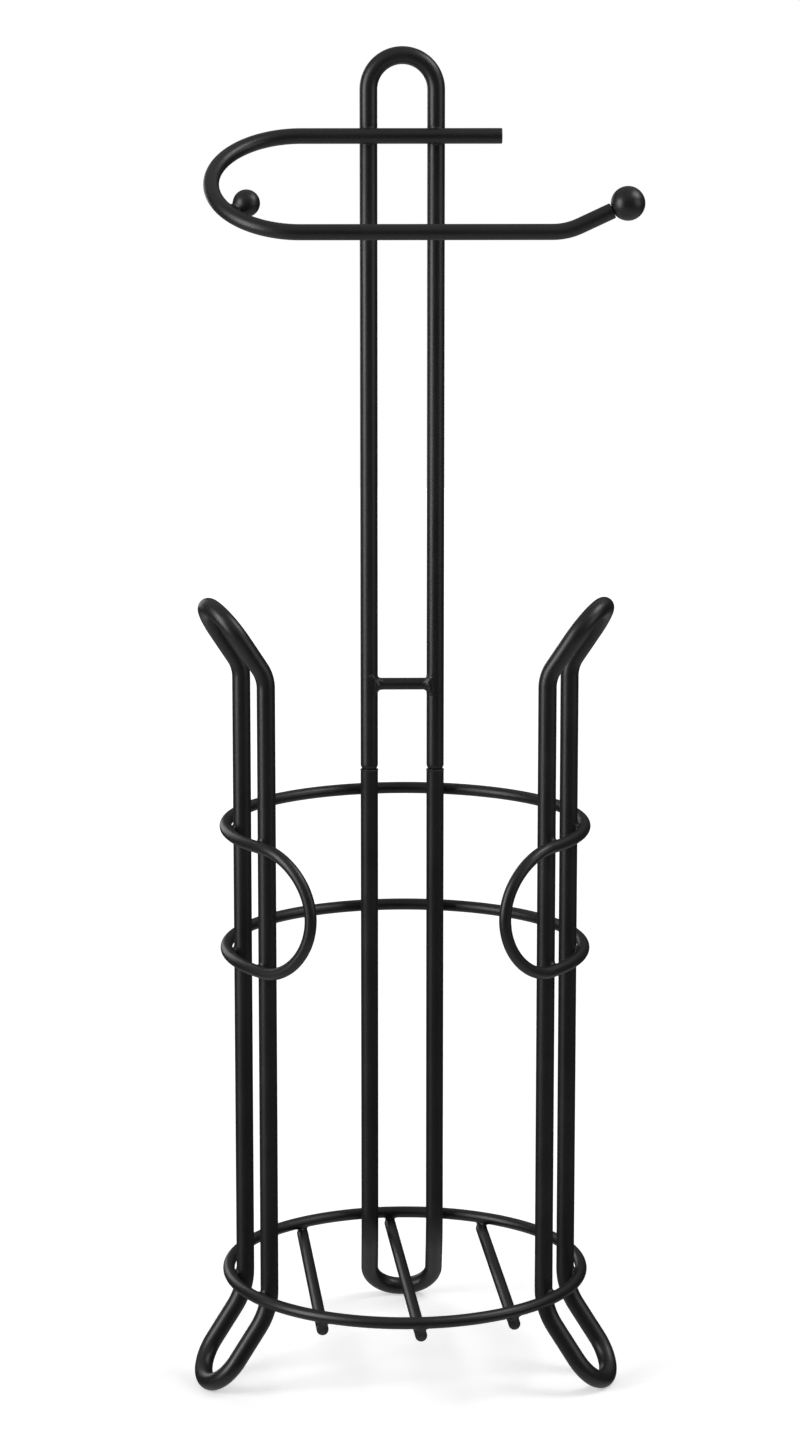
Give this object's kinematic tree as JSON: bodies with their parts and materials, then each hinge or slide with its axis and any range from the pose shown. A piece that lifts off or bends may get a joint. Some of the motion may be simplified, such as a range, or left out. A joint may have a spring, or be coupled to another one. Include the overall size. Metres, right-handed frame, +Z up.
{
  "type": "toilet paper holder",
  "caption": "Free-standing toilet paper holder in bent steel tube: a wire basket for spare rolls on splayed feet and a lift-off upper post with a looped roll arm.",
  "frame": {"origin": "on the floor under the middle of the object's bounding box", "axes": "+Z up; the basket opens towards -Y, its front; +X is the side the roll arm's free end points to"},
  "size_m": [0.1989, 0.1823, 0.5915],
  "materials": {
    "powder_coat": "satin black powder coat",
    "bare_steel": "bright zinc-plated steel"
  },
  "bodies": {
    "lower_stand": {"left_side_frame": "powder_coat", "right_side_frame": "powder_coat", "rear_leg_frame": "powder_coat", "guard_hoop": "powder_coat", "bottom_ring": "powder_coat", "floor_wire_left": "powder_coat", "floor_wire_middle": "powder_coat", "floor_wire_right": "powder_coat", "joint_pin_left": "bare_steel", "joint_pin_right": "bare_steel"},
    "upper_section": {"upper_post": "powder_coat", "post_crossbar": "powder_coat", "roll_arm": "powder_coat", "end_ball_stud": "powder_coat", "end_ball": "powder_coat", "stop_ball": "powder_coat"}
  },
  "joints": [
    {"name": "upper_lift", "type": "slide", "parent": "lower_stand", "child": "upper_section", "axis": [0, 0, 1], "range_m": [0, 0.05]}
  ]
}
